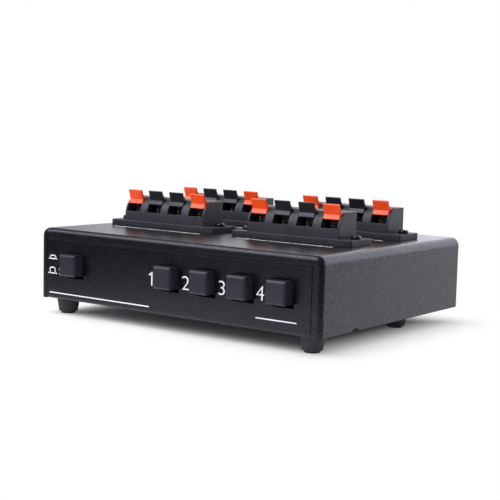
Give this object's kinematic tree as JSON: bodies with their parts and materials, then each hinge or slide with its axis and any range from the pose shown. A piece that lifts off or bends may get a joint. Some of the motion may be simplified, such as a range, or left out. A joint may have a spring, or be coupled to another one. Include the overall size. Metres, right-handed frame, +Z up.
{
  "type": "speaker selector switch",
  "caption": "Flat black steel case with square push buttons in front and push-lever wire terminal blocks with red and black levers on top.",
  "frame": {"origin": "on the surface that it stands on, under the middle of the whole object's box", "axes": "+X to the right as seen from the front, +Y from the front to the rear, +Z up"},
  "size_m": [0.19, 0.152, 0.0702],
  "materials": {
    "case_paint": "fine-textured satin black paint on steel sheet",
    "foot_rubber": "matt black rubber",
    "dark_screw": "black oxide steel",
    "zinc_steel": "zinc plated steel",
    "button_plastic": "satin black moulded plastic",
    "block_plastic": "satin black moulded plastic",
    "red_plastic": "semi-gloss red moulded plastic",
    "black_lever": "semi-gloss black moulded plastic",
    "board_laminate": "green laminate board",
    "phenolic_board": "brown phenolic board",
    "switch_white": "natural moulded plastic",
    "brass": "plain brass",
    "spring_steel": "bright spring wire",
    "red_wire": "PVC insulation",
    "black_wire": "PVC insulation"
  },
  "bodies": {
    "case": {"top_cover": "case_paint", "chassis_tray": "case_paint", "rubber_feet": "foot_rubber", "cover_screws": "dark_screw", "switch_board": "board_laminate", "board_standoffs": "zinc_steel", "board_screws": "zinc_steel", "switch_housings": "switch_white", "switch_pins": "zinc_steel", "switch_springs": "spring_steel", "terminal_screws": "dark_screw", "terminal_nuts": "zinc_steel", "wires_front_red": "red_wire", "wires_front_black": "black_wire", "wires_rear_red": "red_wire", "wires_rear_black": "black_wire", "terminal_housing_front_left": "block_plastic", "terminal_base_front_left": "phenolic_board", "terminal_contacts_front_left": "brass", "lever_springs_front_left": "spring_steel", "terminal_housing_front_right": "block_plastic", "terminal_base_front_right": "phenolic_board", "terminal_contacts_front_right": "brass", "lever_springs_front_right": "spring_steel", "terminal_housing_rear_left": "block_plastic", "terminal_base_rear_left": "phenolic_board", "terminal_contacts_rear_left": "brass", "lever_springs_rear_left": "spring_steel", "terminal_housing_rear_right": "block_plastic", "terminal_base_rear_right": "phenolic_board", "terminal_contacts_rear_right": "brass", "lever_springs_rear_right": "spring_steel"},
    "button_source": {"button_cap_source": "button_plastic", "switch_plunger_source": "switch_white"},
    "button_zone_1": {"button_cap_zone_1": "button_plastic", "switch_plunger_zone_1": "switch_white"},
    "button_zone_2": {"button_cap_zone_2": "button_plastic", "switch_plunger_zone_2": "switch_white"},
    "button_zone_3": {"button_cap_zone_3": "button_plastic", "switch_plunger_zone_3": "switch_white"},
    "button_zone_4": {"button_cap_zone_4": "button_plastic", "switch_plunger_zone_4": "switch_white"},
    "push_lever_front_left_1": {"lever_front_left_1": "red_plastic"},
    "push_lever_front_left_2": {"lever_front_left_2": "black_lever"},
    "push_lever_front_left_3": {"lever_front_left_3": "black_lever"},
    "push_lever_front_left_4": {"lever_front_left_4": "red_plastic"},
    "push_lever_front_right_1": {"lever_front_right_1": "red_plastic"},
    "push_lever_front_right_2": {"lever_front_right_2": "black_lever"},
    "push_lever_front_right_3": {"lever_front_right_3": "black_lever"},
    "push_lever_front_right_4": {"lever_front_right_4": "red_plastic"},
    "push_lever_rear_left_1": {"lever_rear_left_1": "red_plastic"},
    "push_lever_rear_left_2": {"lever_rear_left_2": "black_lever"},
    "push_lever_rear_left_3": {"lever_rear_left_3": "black_lever"},
    "push_lever_rear_left_4": {"lever_rear_left_4": "red_plastic"},
    "push_lever_rear_right_1": {"lever_rear_right_1": "red_plastic"},
    "push_lever_rear_right_2": {"lever_rear_right_2": "black_lever"},
    "push_lever_rear_right_3": {"lever_rear_right_3": "black_lever"},
    "push_lever_rear_right_4": {"lever_rear_right_4": "red_plastic"}
  },
  "joints": [
    {"name": "press_source", "type": "slide", "parent": "case", "child": "button_source", "axis": [0, 1, 0], "range_m": [0, 0.003], "stiffness_N_per_m": 300, "springref_m": -0.003, "deforming": ["switch_springs"]},
    {"name": "press_zone_1", "type": "slide", "parent": "case", "child": "button_zone_1", "axis": [0, 1, 0], "range_m": [0, 0.003], "stiffness_N_per_m": 300, "springref_m": -0.003, "deforming": ["switch_springs"]},
    {"name": "press_zone_2", "type": "slide", "parent": "case", "child": "button_zone_2", "axis": [0, 1, 0], "range_m": [0, 0.003], "stiffness_N_per_m": 300, "springref_m": -0.003, "deforming": ["switch_springs"]},
    {"name": "press_zone_3", "type": "slide", "parent": "case", "child": "button_zone_3", "axis": [0, 1, 0], "range_m": [0, 0.003], "stiffness_N_per_m": 300, "springref_m": -0.003, "deforming": ["switch_springs"]},
    {"name": "press_zone_4", "type": "slide", "parent": "case", "child": "button_zone_4", "axis": [0, 1, 0], "range_m": [0, 0.003], "stiffness_N_per_m": 300, "springref_m": -0.003, "deforming": ["switch_springs"]},
    {"name": "tip_front_left_1", "type": "hinge", "parent": "case", "child": "push_lever_front_left_1", "pos_m": [-0.06885, -0.0074, 0.0625], "axis": [1, 0, 0], "range_deg": [0, 10], "stiffness_Nm_per_rad": 0.05, "springref_deg": -11.46, "deforming": ["lever_springs_front_left"]},
    {"name": "tip_front_left_2", "type": "hinge", "parent": "case", "child": "push_lever_front_left_2", "pos_m": [-0.05335, -0.0074, 0.0625], "axis": [1, 0, 0], "range_deg": [0, 10], "stiffness_Nm_per_rad": 0.05, "springref_deg": -11.46, "deforming": ["lever_springs_front_left"]},
    {"name": "tip_front_left_3", "type": "hinge", "parent": "case", "child": "push_lever_front_left_3", "pos_m": [-0.03785, -0.0074, 0.0625], "axis": [1, 0, 0], "range_deg": [0, 10], "stiffness_Nm_per_rad": 0.05, "springref_deg": -11.46, "deforming": ["lever_springs_front_left"]},
    {"name": "tip_front_left_4", "type": "hinge", "parent": "case", "child": "push_lever_front_left_4", "pos_m": [-0.02235, -0.0074, 0.0625], "axis": [1, 0, 0], "range_deg": [0, 10], "stiffness_Nm_per_rad": 0.05, "springref_deg": -11.46, "deforming": ["lever_springs_front_left"]},
    {"name": "tip_front_right_1", "type": "hinge", "parent": "case", "child": "push_lever_front_right_1", "pos_m": [0.0206, -0.0074, 0.0625], "axis": [1, 0, 0], "range_deg": [0, 10], "stiffness_Nm_per_rad": 0.05, "springref_deg": -11.46, "deforming": ["lever_springs_front_right"]},
    {"name": "tip_front_right_2", "type": "hinge", "parent": "case", "child": "push_lever_front_right_2", "pos_m": [0.0361, -0.0074, 0.0625], "axis": [1, 0, 0], "range_deg": [0, 10], "stiffness_Nm_per_rad": 0.05, "springref_deg": -11.46, "deforming": ["lever_springs_front_right"]},
    {"name": "tip_front_right_3", "type": "hinge", "parent": "case", "child": "push_lever_front_right_3", "pos_m": [0.0516, -0.0074, 0.0625], "axis": [1, 0, 0], "range_deg": [0, 10], "stiffness_Nm_per_rad": 0.05, "springref_deg": -11.46, "deforming": ["lever_springs_front_right"]},
    {"name": "tip_front_right_4", "type": "hinge", "parent": "case", "child": "push_lever_front_right_4", "pos_m": [0.0671, -0.0074, 0.0625], "axis": [1, 0, 0], "range_deg": [0, 10], "stiffness_Nm_per_rad": 0.05, "springref_deg": -11.46, "deforming": ["lever_springs_front_right"]},
    {"name": "tip_rear_left_1", "type": "hinge", "parent": "case", "child": "push_lever_rear_left_1", "pos_m": [-0.06885, 0.0433, 0.0625], "axis": [1, 0, 0], "range_deg": [0, 10], "stiffness_Nm_per_rad": 0.05, "springref_deg": -11.46, "deforming": ["lever_springs_rear_left"]},
    {"name": "tip_rear_left_2", "type": "hinge", "parent": "case", "child": "push_lever_rear_left_2", "pos_m": [-0.05335, 0.0433, 0.0625], "axis": [1, 0, 0], "range_deg": [0, 10], "stiffness_Nm_per_rad": 0.05, "springref_deg": -11.46, "deforming": ["lever_springs_rear_left"]},
    {"name": "tip_rear_left_3", "type": "hinge", "parent": "case", "child": "push_lever_rear_left_3", "pos_m": [-0.03785, 0.0433, 0.0625], "axis": [1, 0, 0], "range_deg": [0, 10], "stiffness_Nm_per_rad": 0.05, "springref_deg": -11.46, "deforming": ["lever_springs_rear_left"]},
    {"name": "tip_rear_left_4", "type": "hinge", "parent": "case", "child": "push_lever_rear_left_4", "pos_m": [-0.02235, 0.0433, 0.0625], "axis": [1, 0, 0], "range_deg": [0, 10], "stiffness_Nm_per_rad": 0.05, "springref_deg": -11.46, "deforming": ["lever_springs_rear_left"]},
    {"name": "tip_rear_right_1", "type": "hinge", "parent": "case", "child": "push_lever_rear_right_1", "pos_m": [0.0206, 0.0433, 0.0625], "axis": [1, 0, 0], "range_deg": [0, 10], "stiffness_Nm_per_rad": 0.05, "springref_deg": -11.46, "deforming": ["lever_springs_rear_right"]},
    {"name": "tip_rear_right_2", "type": "hinge", "parent": "case", "child": "push_lever_rear_right_2", "pos_m": [0.0361, 0.0433, 0.0625], "axis": [1, 0, 0], "range_deg": [0, 10], "stiffness_Nm_per_rad": 0.05, "springref_deg": -11.46, "deforming": ["lever_springs_rear_right"]},
    {"name": "tip_rear_right_3", "type": "hinge", "parent": "case", "child": "push_lever_rear_right_3", "pos_m": [0.0516, 0.0433, 0.0625], "axis": [1, 0, 0], "range_deg": [0, 10], "stiffness_Nm_per_rad": 0.05, "springref_deg": -11.46, "deforming": ["lever_springs_rear_right"]},
    {"name": "tip_rear_right_4", "type": "hinge", "parent": "case", "child": "push_lever_rear_right_4", "pos_m": [0.0671, 0.0433, 0.0625], "axis": [1, 0, 0], "range_deg": [0, 10], "stiffness_Nm_per_rad": 0.05, "springref_deg": -11.46, "deforming": ["lever_springs_rear_right"]}
  ]
}
